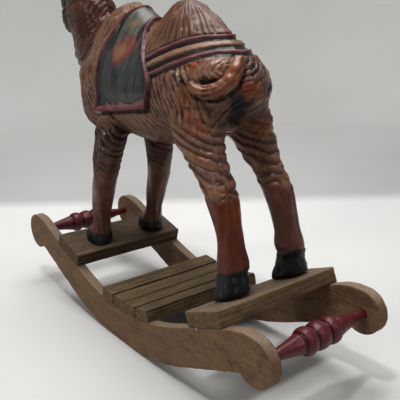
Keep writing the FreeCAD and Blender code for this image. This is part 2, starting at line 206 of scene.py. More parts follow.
class Limb:
    """A round-ended taper between two points, squashed along X and Y."""

    def __init__(self, start, end, start_radius, end_radius, squash=(1.0, 1.0)):
        self.start = np.array(start, float) + (0.0, CAMEL_Y, 0.0)
        self.end = np.array(end, float) + (0.0, CAMEL_Y, 0.0)
        self.radii = (start_radius, end_radius)
        self.squash = np.array([squash[0], squash[1], 1.0])

    def box(self, margin):
        reach = max(self.radii) * self.squash
        low, high = np.minimum(self.start, self.end), np.maximum(self.start, self.end)
        return low - reach - margin, high + reach + margin

    def distance(self, x, y, z):
        start, end = self.start / self.squash, self.end / self.squash
        way = end - start
        x, y, z = x / self.squash[0] - start[0], y / self.squash[1] - start[1], z - start[2]
        t = unit((x * way[0] + y * way[1] + z * way[2]) / (way @ way))
        off = np.sqrt((x - t * way[0]) ** 2 + (y - t * way[1]) ** 2 + (z - t * way[2]) ** 2)
        return (off - (self.radii[0] + (self.radii[1] - self.radii[0]) * t)) * min(self.squash)


def chain(points, squash=(1.0, 1.0)):
    """Limbs joining points given as (x, y, z, radius)."""
    return [Limb(a[:3], b[:3], a[3], b[3], squash) for a, b in zip(points, points[1:])]


class Hump:
    """A round-topped cone of level oval rings that melts into the back."""

    def __init__(self, x, top, roundness, long, wide):
        self.x, self.top, self.roundness = x, top, roundness
        self.long, self.wide = long, wide

    def box(self, margin):
        return (np.array([self.x - 110.0, CAMEL_Y - 60.0, HUMP_FLOOR - 25.0]),
                np.array([self.x + 110.0, CAMEL_Y + 60.0, self.top + 6.0]))

    def distance(self, x, y, z):
        drop = self.top - z
        ring = np.sqrt(((x - self.x) / self.long) ** 2 + ((y - CAMEL_Y) / self.wide) ** 2)
        half = self.roundness / 2.0
        cone = (np.sqrt((ring / HUMP_SLOPE) ** 2 + half ** 2) - (drop + half)) * 0.62
        flank = Blob((-15, 0, 232), (133, 42, 95)).distance(x, y, z)
        body = -smooth_min(-cone, -flank, 10.0)
        return -smooth_min(-body, z - HUMP_FLOOR, 22.0)


class Column:
    """A leg of level oval rings (height, centre x, centre y, half length, half width) on its board."""

    def __init__(self, rows, side, seat):
        self.rows, self.side, self.seat = rows, side, seat

    def box(self, margin):
        z, x, y, a, b = np.array(self.rows, float).T
        y = CAMEL_Y + self.side * y
        return (np.array([(x - a).min(), (y - b).min(), z[0]]) - margin,
                np.array([(x + a).max(), (y + b).max(), z[-1]]) + margin)

    def distance(self, x, y, z):
        cx, cy, rx, ry = smooth_rows(self.rows, z.ravel())
        ring = np.sqrt(((x - cx) / rx) ** 2 + ((y - CAMEL_Y - self.side * cy) / ry) ** 2)
        side = (ring - 1.0) * np.minimum(rx, ry) * 0.9
        over = z - self.rows[-1][0]
        seat_x, seat_z, tilt = self.seat
        tilt = math.radians(tilt)
        under = (x - seat_x) * math.sin(tilt) - (z - seat_z) * math.cos(tilt)
        return np.maximum(np.maximum(side, over), under)


def surface_net(grid):
    """The grid's zero surface as points and outward four-sided faces."""
    field = grid.field
    inside = field < 0
    corners = [(i, j, k) for i in (0, 1) for j in (0, 1) for k in (0, 1)]
    nx, ny, nz = np.array(field.shape) - 1
    total = sum(inside[i:nx + i, j:ny + j, k:nz + k].astype(np.int8) for i, j, k in corners)
    cells = np.argwhere((total > 0) & (total < 8))
    index = np.full(total.shape, -1, np.int32)
    index[tuple(cells.T)] = np.arange(len(cells))
    corners = np.array(corners)
    value = np.stack([field[tuple((cells + c).T)] for c in corners], 1)
    summed = np.zeros((len(cells), 3))
    crossings = np.zeros(len(cells))
    for a in range(8):
        for b in range(a + 1, 8):
            if np.abs(corners[a] - corners[b]).sum() == 1:
                va, vb = value[:, a], value[:, b]
                cross = (va < 0) != (vb < 0)
                t = np.where(cross, va / np.where(cross, va - vb, 1.0), 0.0)
                summed += (corners[a] + t[:, None] * (corners[b] - corners[a])) * cross[:, None]
                crossings += cross
    points = grid.low + (cells + summed / crossings[:, None]) * grid.step
    faces = []
    for axis in range(3):
        u, v = np.eye(3, dtype=int)[(axis + 1) % 3], np.eye(3, dtype=int)[(axis + 2) % 3]
        low = tuple(slice(0, -1) if i == axis else slice(None) for i in range(3))
        high = tuple(slice(1, None) if i == axis else slice(None) for i in range(3))
        edges = np.argwhere(inside[low] != inside[high])
        quad = np.stack([index[tuple((edges - d).T)] for d in (u * 0, u, u + v, v)], 1)
        turned = ~inside[low][tuple(edges.T)]
        quad[turned] = quad[turned][:, ::-1]
        faces.append(quad)
    return points, np.concatenate(faces)


# ---- the camel's form

HUMP_FLOOR = 224.0
HUMP_SLOPE = 0.92
FRONT_HUMP_X, REAR_HUMP_X = -66.0, 28.0
BETWEEN_HUMPS_X = -8.0
HUMP_TOP = 315.0

# leg rings: height, centre x, centre y, half length, half width
FRONT_LEG = [
    (66, -101, 33.5, 13.6, 11.8), (71, -101, 33.5, 14.8, 12.6), (77, -100, 33.5, 14.2, 12.4),
    (83, -96.5, 33.5, 11.4, 10.8), (90, -93, 33.5, 9.8, 9.6), (110, -87.5, 34, 10.8, 10.2),
    (138, -79, 34, 13.2, 12.2), (154, -75, 32.5, 15.6, 13.4), (180, -71, 29, 18.0, 15.5),
    (205, -72, 20, 22.0, 18.0), (228, -74, 12, 24.0, 20.0)]
REAR_LEG = [
    (68, 123, 33.5, 16.6, 15.0), (76, 123, 33.5, 15.9, 14.4), (86, 123, 33.5, 14.2, 13.0),
    (95, 122.5, 33.2, 12.6, 11.6), (101, 122.3, 33, 11.4, 10.6), (107, 122, 32.6, 13.0, 11.8),
    (122, 119, 31.5, 11.4, 10.6), (136, 115, 30.8, 11.8, 11.0), (150, 110, 30.2, 14.0, 12.4),
    (166, 102, 29.6, 16.4, 13.0), (184, 87, 29, 22.0, 13.8), (200, 75, 28.0, 28.0, 15.5),
    (216, 70, 25, 32.0, 18.0), (236, 62, 16, 35.0, 22.0)]
FRONT_SEAT = (-102.7, 69.2, -15.5)      # a point of the board's top and its tilt
REAR_SEAT = (127.0, 83.4, 21.0)

TAIL = [
    (103, -3, 264, 3.6), (106.5, -9.5, 257, 4.4), (106.5, -15, 249.5, 4.9), (103.5, -20, 244.5, 5.1),
    (98, -25, 241.8, 4.9), (91.5, -29.5, 241, 4.2), (85.5, -32.5, 243, 3.2), (80, -34, 246, 1.8)]


def torso_shapes():
    return [
        (Blob((-15, 0, 226), (108, 38, 42)), 0),
        (Blob((-98, 0, 238), (46, 36, 48)), 12),
        (Blob((-117, 0, 212), (34, 28, 30)), 12),
        (Blob((61, 0, 242), (54, 42, 37)), 12),
        (Hump(FRONT_HUMP_X, HUMP_TOP, 85.0, 1.2, 0.5), 6),
        (Hump(REAR_HUMP_X, HUMP_TOP - 1.5, 46.0, 1.2, 0.56), 6),
    ] + [(Limb((a[0], a[1] - CAMEL_Y, a[2]), (b[0], b[1] - CAMEL_Y, b[2]), a[3], b[3]), 1.5)
         for a, b in zip(TAIL, TAIL[1:])]


def neck_shapes():
    throat = [(-108, 0, 236, 32), (-131, 0, 270, 27), (-146, 0, 304, 26), (-160, 0, 338, 21),
              (-168, 0, 366, 17)]
    beard = [(-200, 0, 346, 8), (-193, 0, 320, 11), (-191, 0, 300, 12), (-185, 0, 287, 7)]
    shapes = [(shape, 8) for shape in chain(throat, (1.3, 0.86))]
    shapes += [(shape, 6) for shape in chain(beard, (1.2, 0.8))]
    shapes += [
        (Blob((-180, 0, 372), (24, 16, 18)), 8),
        (Blob((-212, 0, 361), (31, 12, 13), -14), 8),
        (Blob((-234, 0, 355), (9.5, 10.5, 11)), 5),
        (Blob((-213, 0, 350), (24, 9, 7), -10), 4),
        (Blob((-180, 0, 388), (15, 9, 7)), 5),
    ]
    for side in (-1, 1):
        shapes.append((Limb((-167, side * 11.5, 384), (-161, side * 14.5, 392), 3.8, 2.9, (1.5, 1.0)), 2))
        shapes.append((Blob((-194, side * 12.5, 373), (5.2, 3.2, 3.8)), 1))
    return shapes


def camel_grid():
    """The whole camel's distances, and for each grid point the part it belongs to."""
    low, high = (-255.0, CAMEL_Y - 58.0, 60.0), (146.0, CAMEL_Y + 58.0, 405.0)
    whole = Grid(low, high, FORM_STEP)
    fields = []
    for shapes in (torso_shapes(), neck_shapes()):
        part = Grid(low, high, FORM_STEP)
        for shape, blend in shapes:
            part.add(shape, blend)
        fields.append(part.field)
    for rows, seat in ((FRONT_LEG, FRONT_SEAT), (REAR_LEG, REAR_SEAT)):
        for side in (-1, 1):
            part = Grid(low, high, FORM_STEP)
            part.add(Column(rows, side, seat))
            fields.append(part.field)
    whole.field = smooth_min(fields[0], fields[1], 8.0)
    for field in fields[2:]:
        whole.field = smooth_min(whole.field, field, 6.0)
    owner = np.argmin(np.stack([fields[0] - 1.5] + fields[1:]), axis=0)
    return whole, owner.astype(np.int8)


def point_normals(points, faces):
    p = points[faces]
    face_normal = np.cross(p[:, 2] - p[:, 0], p[:, 3] - p[:, 1])
    normal = np.stack([np.bincount(faces.ravel(), np.repeat(face_normal[:, i], 4), len(points))
                       for i in range(3)], 1)
    return normal / np.maximum(np.linalg.norm(normal, axis=1), 1e-9)[:, None]


def smoothed(values, faces, rounds):
    """Each point's values averaged with its neighbours' along the faces' edges, for some rounds."""
    count = len(values)
    a = faces.ravel()
    b = np.roll(faces, -1, axis=1).ravel()
    weight = np.bincount(a, minlength=count) + np.bincount(b, minlength=count)
    for _ in range(rounds):
        columns = range(values.shape[1])
        values = np.stack([(np.bincount(a, values[b, i], count) + np.bincount(b, values[a, i], count))
                           / weight for i in columns], 1)
    return values


# ---- the camel's carving and paint

def srgb(red, green, blue):
    """A paint colour given as it looks on a screen, 0 to 255, made linear."""
    return np.array([(c / 255.0) ** 2.2 for c in (red, green, blue)])


FUR = srgb(122, 88, 69)
FUR_PALE = srgb(114, 84, 67)
# the colour of the carved cuts, also used as painted shade under the body
FUR_CUT_AND_SHADE = srgb(24, 10, 6)
NECK_FUR = srgb(74, 39, 30)
REAR_SHADE = srgb(50, 30, 32)
AMBER = srgb(124, 60, 12)
LEG_STAIN = srgb(92, 33, 8)
PALER_LEG_STAIN_AND_LIGHT = srgb(96, 56, 44)
# a paler leg stain, on the far rear leg partly painted light
CREST = srgb(132, 98, 64)
HOOF_WEAR = srgb(74, 78, 84)
LEG_DARK = srgb(56, 30, 23)
HOOF = srgb(16, 19, 26)
RIB_RED = srgb(92, 32, 42)
RIB_PINK = srgb(140, 88, 92)
OCHRE = srgb(130, 106, 82)
FIELD = srgb(22, 22, 26)
FIELD_BLUE = srgb(74, 78, 82)
FIELD_GREEN = srgb(92, 92, 78)
LOZENGE_RED = srgb(124, 62, 56)
LOZENGE_OCHRE = srgb(128, 98, 72)
BEARD = srgb(44, 44, 38)

# where the varnish has pooled to amber: x, y, z and reach
AMBER_POOLS = [
    (70, -30, 226, 17), (86, -29, 213, 16), (91, -17, 266, 8), (76, -28, 262, 7), (115, -5, 245, 9),
    (110, 16, 228, 14), (96, 25, 207, 13), (92, -30, 190, 12)]
TUFTS = [(90.5, -28, 249.5), (96.5, -25, 248.5)]       # two dark tufts inside the tail's curl

# blanket edges: height, front x, rear x
BLANKET = [
    (200, -90, 6), (209, -86.5, 8), (221, -81, 11.5), (232, -77, 18), (240, -75, 22), (252, -71.5, 17.5),
    (265, -68, 5), (274, -65, -4), (283, -60, -12.5), (290, -55, -16), (302, -48.5, -20), (310, -40, -24)]
BLANKET_HEM = 209.0
BLANKET_HEM_RISE = 0.125
STRAP_REAR_X = 90.0
HIP_HOLLOW = (88.0, 247.0, 21.0)      # x, z and radius of the arc of a gouged hollow ahead of the tail
CURL_CENTRE = (103.0, 260.0)          # x and z that the strands round the tail's curl run about
LOZENGE_AT = (-33.0, 270.0)           # x and z of the blanket's painted lozenge
PATCH_AT = (-32.0, 294.0)             # x and z of the paler patch above it
EYE = (-194.0, 13.0, 373.0)
FRONT_HOOF_HEIGHT, REAR_HOOF_HEIGHT = 13.5, 21.5


def blanket_inset(x, z):
    """How far a point of the flank lies inside the blanket, and how far above its hem."""
    front, rear = smooth_rows(BLANKET, np.clip(z, 200.0, 310.0))
    above = z - (BLANKET_HEM + BLANKET_HEM_RISE * (x - BLANKET[1][1]))
    return np.minimum(np.minimum(x - front, rear - x), above), above


def strap_height(x):
    """The middle of the straps round the rear hump, and half their spread."""
    forward = np.clip((STRAP_REAR_X - x) / 70.0, 0.0, 1.3)
    return 277.0 - 16.5 * forward ** 1.45, 6.6 + 2.8 * smoothstep(forward, 0.0, 0.5)


def tail_place(points):
    """How far each point is outside the tail, and how far across the tail it lies."""
    near = np.full(len(points), 1e3)
    across = np.zeros(len(points))
    for start, end in zip(TAIL, TAIL[1:]):
        a, b = np.array(start[:3], float), np.array(end[:3], float)
        t = unit((points - a) @ (b - a) / ((b - a) @ (b - a)))
        off = points - (a + t[:, None] * (b - a))
        gap = np.linalg.norm(off, axis=1) - (start[3] + (end[3] - start[3]) * t)
        side = np.cross((b - a) / np.linalg.norm(b - a), (0.45, -0.85, 0.25))
        closer = gap < near
        across[closer] = (off @ side)[closer]
        near[closer] = gap[closer]
    return near, across


def spot(points, at, reach):
    """1 at a place on the camel, fading to 0 at the reach."""
    away = np.linalg.norm(points - np.array(at, float), axis=1)
    return fade(away, 0.3 * reach, reach)


def mix(colours, other, share):
    return colours + (other - colours) * share[:, None]


def blanket_paint(x, z, inset, rough, broad):
    """The blanket's painted field: brushed grey and green with a red and ochre lozenge and a paler patch."""
    flat = np.zeros_like(x)
    streaks = noise(x, flat, z / 9.0, 1.7, 41) + 0.5 * noise(x, flat, z / 14.0, 3.5, 42)
    near_edge = fade(inset, 3.0, 12.0)
    light = unit(0.4 + 0.45 * streaks + 0.4 * broad - 0.4 * near_edge)
    field = FIELD + (FIELD_BLUE - FIELD) * light[:, None]
    field = mix(field, FIELD_GREEN, smoothstep(z, 250.0, 288.0) * unit(0.35 + 0.6 * streaks))
    from_x, from_z = x - LOZENGE_AT[0], z - LOZENGE_AT[1]
    turn_x, turn_z = from_x * 0.82 + from_z * 0.4, from_z * 0.9 - from_x * 0.35
    spread_out = np.sqrt((turn_x / 15.0) ** 2 + (turn_z / 12.5) ** 2) + 0.2 * rough
    field = mix(field, LOZENGE_RED, 0.8 * fade(spread_out, 0.6, 1.2))
    field = mix(field, LOZENGE_OCHRE, 0.8 * fade(spread_out + 0.3 * from_x / 15.0, 0.1, 0.8))
    patch = np.hypot((x - PATCH_AT[0]) / 7.0, (z - PATCH_AT[1]) / 6.0) + 0.2 * rough
    return mix(field, LOZENGE_OCHRE, 0.5 * fade(patch, 0.5, 1.1))


def decorate(points, normals, owner):
    """Relief along the normals, paint, shine and stroke directions for every point of the camel."""
    x, y, z = points[:, 0], points[:, 1] - CAMEL_Y, points[:, 2]
    flat = np.zeros_like(x)

    def lumps(size, seed):
        return noise(x, y, z, size, seed)

    rough = lumps(9.0, 3)
    broad = lumps(26.0, 4)

    # the camel's regions
    low_front = fade(z, 192.0, 208.0) * fade(x, -50.0, -38.0)
    low_rear = fade(z, 206.0, 222.0) * smoothstep(x, 42.0, 56.0)
    shoulder = low_front * smoothstep(z, 136.0, 156.0)
    thigh = low_rear * smoothstep(z + 2.5 * rough, 158.0, 163.0)
    shin = low_front + low_rear - shoulder - thigh
    neck = np.maximum(smoothstep(-x, 97.0, 104.0) * smoothstep(z, 246.0, 262.0), owner == 1)
    body = unit(1.0 - low_front - low_rear - neck)

    inset, above_hem = blanket_inset(x, z)
    blanket = smoothstep(inset, -0.6, 0.6)
    middle, spread = strap_height(x)
    strap = (z - middle) / spread + 0.06 * rough
    strap_zone = within(strap, -1.45, 1.25, 0.08) * fade(inset, -3.0, -1.5) * (x > 0)

    # fur: where each way of cutting is used, and the cuts themselves
    hump_x = np.where(x < BETWEEN_HUMPS_X, FRONT_HUMP_X, REAR_HUMP_X)
    round_angle = np.arctan2(y / 0.56, (x - hump_x) / 1.2)
    slant_down_rear = (x + z) * math.sqrt(0.5)
    slant_down_front = (x - z) * math.sqrt(0.5)
    tail_near, tail_across = tail_place(points)
    by_tail = (x > 70.0) * (y < 8.0)
    tail = fade(tail_near, 0.4, 1.8) * by_tail
    curl = np.hypot(x - CURL_CENTRE[0], (z - CURL_CENTRE[1]) * 1.1)
    curl_turn = np.arctan2(z - CURL_CENTRE[1], x - CURL_CENTRE[0]) * 15.0

    above_straps = smoothstep(z, middle, middle + 3.0) * (x > BETWEEN_HUMPS_X)
    front_hump = smoothstep(z, 246.0, 262.0) * (x <= BETWEEN_HUMPS_X)
    upper = body * (above_straps + front_hump)
    rump = (body - upper) * smoothstep(x, 50.0, 64.0) * fade(z, 268.0, 274.0)
    belly = (body - upper - rump) * fade(z, 208.0, 222.0)
    flank = body - upper - rump - belly
    curled = rump * fade(curl, 26.0, 33.0) * (y < -4.0)
    behind = (rump - curled) * smoothstep(normals[:, 0], 0.55, 0.75)
    hip = rump - curled - behind
    wave = lumps(19.0, 11)
    patchy = smoothstep(lumps(14.0, 12), -0.25, 0.15)
    neck_slant = (z - 0.6 * x + 0.8 * np.abs(y)) * math.sqrt(0.5)
    leg_turn = np.arctan2(y - np.sign(y) * 34.0, x - np.where(x > 0, 118.0, -88.0))

    ways = [
        # share, kind of cut, across, along, pitch, depth
        (upper, fur, round_angle * 34.0, z, 5.6, 1.9),
        (flank, locks, x + 0.25 * z + 6.0 * wave, z, 7.0, 1.7),
        (belly, fur, slant_down_rear + 4.0 * wave, slant_down_front, 5.2, 2.2),
        (curled, fur, curl + 2.0 * wave, curl_turn, 3.8, 1.5),
        (hip * patchy, locks, x + 0.7 * z + 12.0 * wave, z, 9.0, 2.2),
        (hip * (1.0 - patchy), furrows, x + 0.4 * z + 9.0 * wave, z, 4.2, 0.8),
        (behind, ledges, (z - y) * 0.7 + 6.0 * wave, (z + y) * 0.7, 8.4, 1.5),
        (neck, fur, neck_slant + 4.0 * wave, z, 6.6, 2.1),
        (shoulder, locks, slant_down_rear + 4.0 * wave, slant_down_front, 6.4, 2.0),
        (thigh, ledges, z + 0.3 * x + 4.0 * wave, 34.0 * leg_turn, 7.8, 1.7),
        (shin, fur, 34.0 * leg_turn, z, 16.0, 0.25),
    ]
    cut = np.zeros_like(x)
    relief = np.zeros_like(x)
    stroke = np.zeros((len(x), 3))
    strongest = np.zeros_like(x)
    bare = 1.0 - np.maximum(np.maximum(blanket, strap_zone), tail)
    for number, (share, kind, across, along, pitch, depth) in enumerate(ways):
        share = share * bare
        lines = kind(across, along, pitch, 20 + 7 * number)
        cut += share * lines * min(1.0, depth)
        relief += share * lines * depth
        chosen = share > strongest
        strongest = np.maximum(strongest, share)
        stroke[chosen] = np.stack([across, along, flat + 40.0 * number], 1)[chosen]
    chips = np.abs(lumps(6.5, 13)) - 0.35
    relief += ((1.1 + 0.6 * broad) * rough + (0.5 + 0.9 * hip + 0.6 * thigh) * chips) * bare * (1.0 - shin)
    chisel = furrows(slant_down_front + 5.0 * wave, slant_down_rear, 3.6, 90)
    relief += (0.5 * thigh + 0.6 * behind) * chisel * bare
    cut += (0.15 * thigh + 0.3 * behind) * chisel * bare
    facet = np.abs(((leg_turn / math.pi * 2.5) % 1.0) - 0.5)
    relief += shin * (0.7 - 2.6 * facet + 0.4 * lumps(11.0, 14))

    # tail: strands over it and a deep cut round it
    strands = furrows(tail_across, x - z, 3.0, 80, 0.2) * (0.45 + 0.55 * smoothstep(-x, -104.0, -94.0))
    relief += tail * (1.3 + strands * 2.1)
    cut += tail * strands * 1.4
    # the trench is darkened through the cuts as painted shade of the tail's undercut, strongest below the
    # tail
    below_tail = fade(z - 0.35 * (x - 83.0), 240.0, 250.0)
    trench = ridge(tail_near - 2.6, 2.8) * by_tail * (1.0 - tail) * (0.35 + 0.65 * below_tail)
    relief -= 1.8 * trench
    cut -= 0.8 * trench
    for share, across, along, shift in ((tail, tail_across, x - z, 400.0), (blanket, x, z, 500.0),
                                        (strap_zone, z, x, 600.0)):
        chosen = share > 0.5
        stroke[chosen] = np.stack([across, along, flat + shift], 1)[chosen]

    # paint, coat over coat
    colours = np.tile(FUR, (len(x), 1))

    def coat(colour, share):
        """Paints a share of each point."""
        colours[:] = mix(colours, colour, share)

    coat(FUR_PALE, upper * (0.7 + 0.3 * rough))
    coat(NECK_FUR, neck * (0.9 + 0.1 * rough))
    coat(NECK_FUR, 0.35 * upper * smoothstep(x, -5.0, 15.0))
    pooled = sum(spot(points, pool[:3], pool[3]) for pool in AMBER_POOLS)
    amber = smoothstep(lumps(15.0, 31), 0.15, 0.55) * np.maximum(thigh, rump)
    amber = unit(0.6 * amber + pooled * (0.8 + 0.5 * rough)) * (1.0 - tail)
    coat(AMBER, unit(0.85 * amber + (0.5 + 0.3 * rough) * tail))
    hollow = np.hypot(x - HIP_HOLLOW[0], z - HIP_HOLLOW[1]) - HIP_HOLLOW[2]
    hollow_turn = np.degrees(np.arctan2(HIP_HOLLOW[1] - z, HIP_HOLLOW[0] - x))
    hollow_part = within(hollow_turn, -8.0, 66.0, 8.0) * bare * (y < 0.0)
    lip = ridge(hollow, 1.9) * hollow_part
    relief += 1.7 * lip - 2.0 * ridge(hollow + 3.8, 2.8) * hollow_part
    # painted highlight: the hollow's raised lip painted paler
    coat(FUR_PALE, 0.7 * lip)
    tufts = unit(sum(spot(points, at, 5.5) for at in TUFTS)) * (1.0 - tail)
    relief -= 1.6 * tufts
    cut -= 0.8 * tufts
    coat(LEG_DARK, shoulder * 0.75)
    # the front legs and the far rear leg take a paler stain; on the far rear leg the paler colour is partly
    # painted light
    far_leg = np.maximum(smoothstep(-x, 0.0, 20.0), smoothstep(y, -5.0, 5.0))
    leg_stain_and_light = mix(np.tile(LEG_STAIN, (len(x), 1)), PALER_LEG_STAIN_AND_LIGHT, far_leg)
    coat(leg_stain_and_light, shin * (0.92 - 0.15 * rough))
    knee = shin * within(z, 128.0, 166.0, 14.0) * (1.0 - far_leg)
    coat(AMBER, 0.55 * knee * (0.6 + 0.5 * broad))
    crest = smoothstep(cut, -0.25, -0.02) * thigh
    coat(CREST, 0.6 * crest * (1.0 - amber) * patchy)
    # painted shade: fur that faces downward is darkened as if in shadow
    painted_shade_under = fade(normals[:, 2], -0.9, -0.2) * body
    coat(FUR_CUT_AND_SHADE, 0.4 * painted_shade_under)
    coat(REAR_SHADE, 0.6 * behind * (0.8 + 0.4 * rough) * (1.0 - amber))
    # a crevice between the haunches, cut in here and painted near black further down as painted shade
    crevice = within(y + 0.35 * (z - 230.0), -20.0, -9.0, 3.0) * within(z, 204.0, 240.0, 5.0) * (x > 92.0)
    relief -= 3.4 * crevice
    shine = (0.3 + 0.25 * broad + 0.5 * amber + 0.6 * lip + 0.6 * tail
             + 0.45 * thigh + 0.6 * shin + 0.15 * shoulder)

    # straps: ribs of pink and ochre between dark cuts
    pink_ribs = ridge(strap - 0.97, 0.26) + ridge(strap + 0.88, 0.26)
    ochre_band = within(strap, -0.2, 0.36, 0.08)
    fading = 1.0 - 0.25 * smoothstep(x, 80.0, 93.0)
    relief += strap_zone * (-1.3 + 2.3 * pink_ribs + 2.1 * ochre_band) * fading
    cut -= strap_zone * (1.0 - unit(pink_ribs + ochre_band))
    coat(RIB_PINK, strap_zone * (0.85 + 0.15 * rough))
    coat(OCHRE, strap_zone * ochre_band * (0.85 + 0.15 * rough))

    # blanket: a painted field, a red rib round it and a wavy hem
    border = ridge(inset - 1.2, 3.0 + 0.6 * noise(x, flat, z, 9.0, 43))
    hem_top = 7.4 + 1.7 * np.sin(x / 5.4 + 2.0 * rough)
    hem = within(above_hem, 0.6, hem_top, 0.7) * blanket
    relief += blanket * 0.4 + border * 1.7 + hem * (0.9 + 0.5 * rough)
    beside = ridge(inset + 2.2, 2.0)
    relief -= 1.8 * beside
    cut -= 0.9 * beside + 0.75 * ridge(above_hem - hem_top - 1.6, 1.5) * blanket
    coat(blanket_paint(x, z, inset, rough, broad), blanket)
    coat(RIB_PINK, hem * (0.8 + 0.2 * rough))
    coat(RIB_RED, unit(1.6 * border) * (0.9 + 0.1 * rough))
    chest = flank * smoothstep(-x, 40.0, 75.0)
    coat(FUR_CUT_AND_SHADE, (0.95 - 0.35 * thigh - 0.3 * chest) * smoothstep(-cut, 0.08, 0.95))
    # painted shade: the crevice painted near black
    coat(HOOF, 0.9 * crevice)
    shine = shine * (1.0 - blanket) + 0.5 * blanket

    # hooves and the beard
    board_front = FRONT_SEAT[1] - (x - FRONT_SEAT[0]) * math.tan(math.radians(-FRONT_SEAT[2]))
    board_rear = REAR_SEAT[1] + (x - REAR_SEAT[0]) * math.tan(math.radians(REAR_SEAT[2]))
    over_board = np.where(x < 0, z - board_front, z - board_rear)
    hoof_top = np.where(x < 0, FRONT_HOOF_HEIGHT, REAR_HOOF_HEIGHT)
    hoof = (z < 120.0) * fade(over_board + 1.2 * rough, hoof_top - 0.8, hoof_top + 0.8)
    coat(HOOF * (1.0 + 0.5 * np.clip(rough, -0.5, 1.0))[:, None], hoof)
    scuffs = smoothstep(noise(x, y, z / 3.0, 2.2, 53), 0.1, 0.8) * hoof
    coat(HOOF_WEAR, 0.45 * scuffs)
    relief += hoof * (0.8 + 0.9 * lumps(6.0, 51) + 0.35 * lumps(2.4, 52))
    shine = shine * (1.0 - hoof) + 0.45 * hoof
    beard = smoothstep(-x, 176.0, 182.0) * smoothstep(z, 270.0, 280.0) * fade(z, 334.0, 342.0)
    coat(BEARD, 0.8 * beard)

    # mouth, nostrils and eyes
    mouth_line = 352.0 + (x + 225.0) * 0.12
    mouth = ridge(z - mouth_line, 1.3) * (x < -212.0)
    nostril = (x < -230.0) * ridge(np.hypot(x + 238.0, (z - 360.0) / 0.7), 3.0) * (np.abs(y) > 2.0)
    eye_x, eye_y, eye_z = (x - EYE[0]) / 5.4, (np.abs(y) - EYE[1]) / 4.0, (z - EYE[2]) / 4.0
    eye = np.sqrt(eye_x ** 2 + eye_y ** 2 + eye_z ** 2) < 1.0
    relief = np.where(eye, 0.0, relief) - 1.6 * mouth - 2.0 * nostril
    coat(HOOF, unit(eye + mouth + nostril))
    shine = np.where(eye, 0.95, shine)
    return relief, unit(colours), unit(shine), stroke


# ---- meshes

def new_object(name, data):
    obj = bpy.data.objects.new(name, data)
    bpy.context.scene.collection.objects.link(obj)
    return obj


def make_mesh(name, points, faces, flat_faces=()):
    """An object from points in mm, four-sided smooth faces and three-sided flat ones."""
    mesh = bpy.data.meshes.new(name)
    everything = [faces, flat_faces] if len(flat_faces) else [faces]
    corner_count = sum(f.size for f in everything)
    mesh.vertices.add(len(points))
    mesh.vertices.foreach_set("co", (points * MM).astype(np.float32).ravel())
    mesh.loops.add(corner_count)
    mesh.loops.foreach_set("vertex_index", np.concatenate([f.ravel() for f in everything]).astype(np.int32))
    sides = np.concatenate([np.full(len(f), f.shape[1]) for f in everything]).astype(np.int32)
    mesh.polygons.add(len(sides))
    mesh.polygons.foreach_set("loop_start", np.concatenate([[0], np.cumsum(sides)[:-1]]).astype(np.int32))
    mesh.update(calc_edges=True)
    mesh.polygons.foreach_set("use_smooth", sides == faces.shape[1])
    mesh.validate()
    return new_object(name, mesh)


POINT_KINDS = {1: ("FLOAT", "value"), 3: ("FLOAT_VECTOR", "vector"), 4: ("FLOAT_COLOR", "color")}


def set_values(obj, **named):
    """Lays values on a mesh's points: numbers, vectors of three or colours of four."""
    for name, values in named.items():
        kind, field = POINT_KINDS[values.size // len(values)]
        attribute = obj.data.attributes.new(name, kind, "POINT")
        attribute.data.foreach_set(field, np.asarray(values, np.float32).ravel())


def split(points, faces, face_owner, owner):
    """One owner's faces closed over its cut edges: old point numbers, faces, closing triangles, apexes."""
    own = faces[face_owner == owner]
    edges = np.stack([own.ravel(), np.roll(own, -1, axis=1).ravel()], 1)
    other = faces[face_owner != owner]
    other_edges = np.stack([np.roll(other, -1, axis=1).ravel(), other.ravel()], 1)
    other_owner = np.repeat(face_owner[face_owner != owner], 4)
    key = edges[:, 0].astype(np.int64) * len(points) + edges[:, 1]
    other_key = other_edges[:, 0].astype(np.int64) * len(points) + other_edges[:, 1]
    order = np.argsort(other_key)
    place = np.clip(np.searchsorted(other_key[order], key), 0, len(other_key) - 1)
    is_cut = other_key[order][place] == key
    beside = other_owner[order][place]
    used = np.unique(own)
    renumber = np.zeros(len(points), int)
    renumber[used] = np.arange(len(used))
    apexes, closing = [], []
    for neighbour in np.unique(beside[is_cut]):
        rim = edges[is_cut & (beside == neighbour)]
        apex = len(used) + len(apexes)
        apexes.append(points[rim[:, 0]].mean(axis=0))
        closing.append(np.stack([renumber[rim[:, 1]], renumber[rim[:, 0]], np.full(len(rim), apex)], 1))
    triangles = np.concatenate(closing) if closing else np.zeros((0, 3), int)
    return used, renumber[own], triangles, np.array(apexes).reshape(-1, 3)


# ---- materials

def is_output(value):
    return isinstance(value, bpy.types.NodeSocket)


def node(kind, inputs, tree=None, **settings):
    """A shader node fed with numbers and other nodes' outputs, in the tree that those belong to."""
    tree = tree or next(value.id_data for value in inputs.values() if is_output(value))
    made = tree.nodes.new("ShaderNode" + kind)
    for key, value in settings.items():
        setattr(made, key, value)
    for key, value in inputs.items():
        if is_output(value):
            tree.links.new(value, made.inputs[key])
        else:
            made.inputs[key].default_value = value
    return made


def principled(name, **settings):
    """A new material, its node tree and its shader, with plain values put on the shader's sockets."""
    material = bpy.data.materials.new(name)
    material.use_nodes = True
    shader = material.node_tree.nodes["Principled BSDF"]
    for key, value in settings.items():
        shader.inputs[key.replace("_", " ")].default_value = value
    return material, material.node_tree, shader


def laid(tree, name, output="Fac"):
    """A value laid on the mesh's points."""
    return node("Attribute", {}, tree, attribute_name=name).outputs[output]


def object_place(tree):
    """Where a point lies on its object, in metres."""
    return node("TexCoord", {}, tree).outputs["Object"]


def bumped(height, strength, distance):
    return node("Bump", {"Strength": strength, "Distance": distance, "Height": height}).outputs[0]


